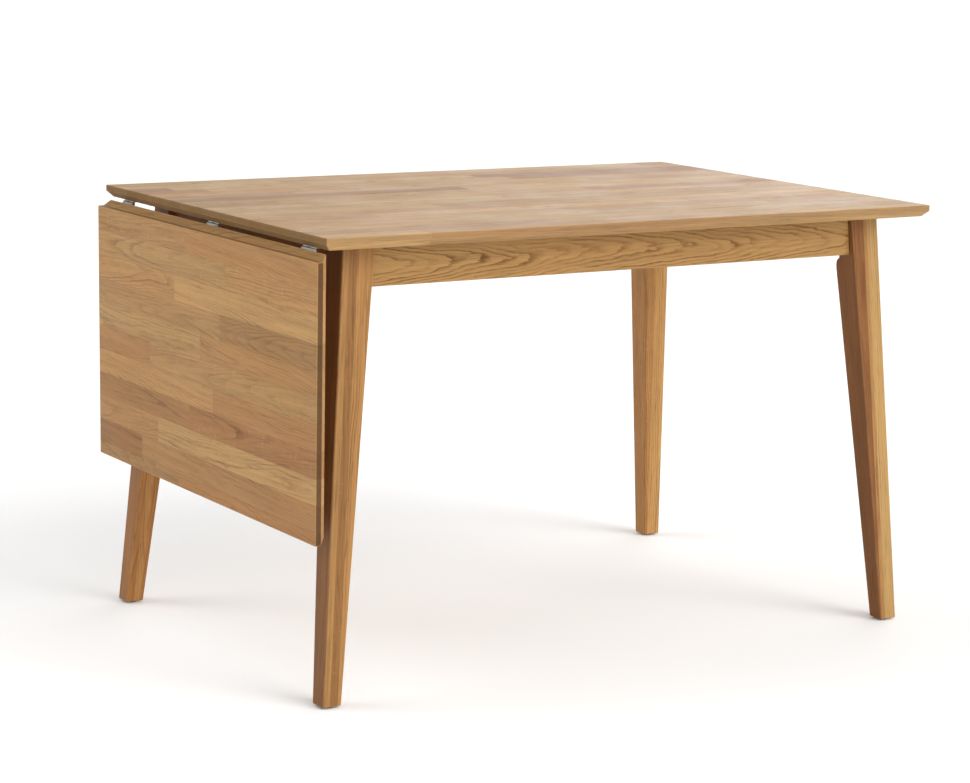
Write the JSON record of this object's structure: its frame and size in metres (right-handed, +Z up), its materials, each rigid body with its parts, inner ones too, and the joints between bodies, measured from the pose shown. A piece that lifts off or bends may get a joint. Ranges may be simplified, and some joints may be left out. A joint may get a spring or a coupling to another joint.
{
  "type": "drop leaf table",
  "caption": "Oak dining table with splayed tapered legs, shallow aprons and a leaf hinged to its left end, which hangs down and is held level on pull-out steel bars.",
  "frame": {"origin": "on the floor, below the centre of the table's outline with the leaf hanging down", "axes": "+X along the table's length, away from the leaf; +Y from the front towards the rear; +Z up"},
  "size_m": [1.215, 0.8, 0.75],
  "materials": {
    "oak_boards": "oiled oak in narrow staves, satin",
    "oak_frame": "oiled oak, satin",
    "zinc_steel": "bright zinc plating",
    "dark_plastic": "dark matt plastic"
  },
  "bodies": {
    "table": {"apron_front": "oak_frame", "apron_left": "oak_frame", "apron_rear": "oak_frame", "apron_right": "oak_frame", "bar_guide_front": "zinc_steel", "bar_guide_rear": "zinc_steel", "corner_plate_front_left": "zinc_steel", "corner_plate_front_right": "zinc_steel", "corner_plate_rear_left": "zinc_steel", "corner_plate_rear_right": "zinc_steel", "foot_glide_front_left": "dark_plastic", "foot_glide_front_right": "dark_plastic", "foot_glide_rear_left": "dark_plastic", "foot_glide_rear_right": "dark_plastic", "guide_screw_front_a": "zinc_steel", "guide_screw_front_b": "zinc_steel", "guide_screw_rear_a": "zinc_steel", "guide_screw_rear_b": "zinc_steel", "hinge_front_pin": "zinc_steel", "hinge_front_top_plate": "zinc_steel", "hinge_middle_pin": "zinc_steel", "hinge_middle_top_plate": "zinc_steel", "hinge_rear_pin": "zinc_steel", "hinge_rear_top_plate": "zinc_steel", "hinge_screw_top_front_a": "zinc_steel", "hinge_screw_top_front_b": "zinc_steel", "hinge_screw_top_middle_a": "zinc_steel", "hinge_screw_top_middle_b": "zinc_steel", "hinge_screw_top_rear_a": "zinc_steel", "hinge_screw_top_rear_b": "zinc_steel", "leg_bolt_front_left": "zinc_steel", "leg_bolt_front_right": "zinc_steel", "leg_bolt_rear_left": "zinc_steel", "leg_bolt_rear_right": "zinc_steel", "leg_front_left": "oak_frame", "leg_front_right": "oak_frame", "leg_nut_front_left": "zinc_steel", "leg_nut_front_right": "zinc_steel", "leg_nut_rear_left": "zinc_steel", "leg_nut_rear_right": "zinc_steel", "leg_rear_left": "oak_frame", "leg_rear_right": "oak_frame", "table_top": "oak_boards", "top_bracket_front_left": "zinc_steel", "top_bracket_front_right": "zinc_steel", "top_bracket_rear_left": "zinc_steel", "top_bracket_rear_right": "zinc_steel"},
    "leaf": {"drop_leaf": "oak_boards", "hinge_front_leaf_plate": "zinc_steel", "hinge_middle_leaf_plate": "zinc_steel", "hinge_rear_leaf_plate": "zinc_steel", "hinge_screw_leaf_front_a": "zinc_steel", "hinge_screw_leaf_front_b": "zinc_steel", "hinge_screw_leaf_middle_a": "zinc_steel", "hinge_screw_leaf_middle_b": "zinc_steel", "hinge_screw_leaf_rear_a": "zinc_steel", "hinge_screw_leaf_rear_b": "zinc_steel"},
    "support_front": {"support_bar_front": "zinc_steel"},
    "support_rear": {"support_bar_rear": "zinc_steel"}
  },
  "joints": [
    {"name": "leaf_hinge", "type": "hinge", "parent": "table", "child": "leaf", "pos_m": [-0.5825, 0, 0.725], "axis": [0, 1, 0], "range_deg": [0, 90]},
    {"name": "support_slide_front", "type": "slide", "parent": "table", "child": "support_front", "axis": [-1, 0, 0], "range_m": [0, 0.22]},
    {"name": "support_slide_rear", "type": "slide", "parent": "table", "child": "support_rear", "axis": [-1, 0, 0], "range_m": [0, 0.22]}
  ]
}
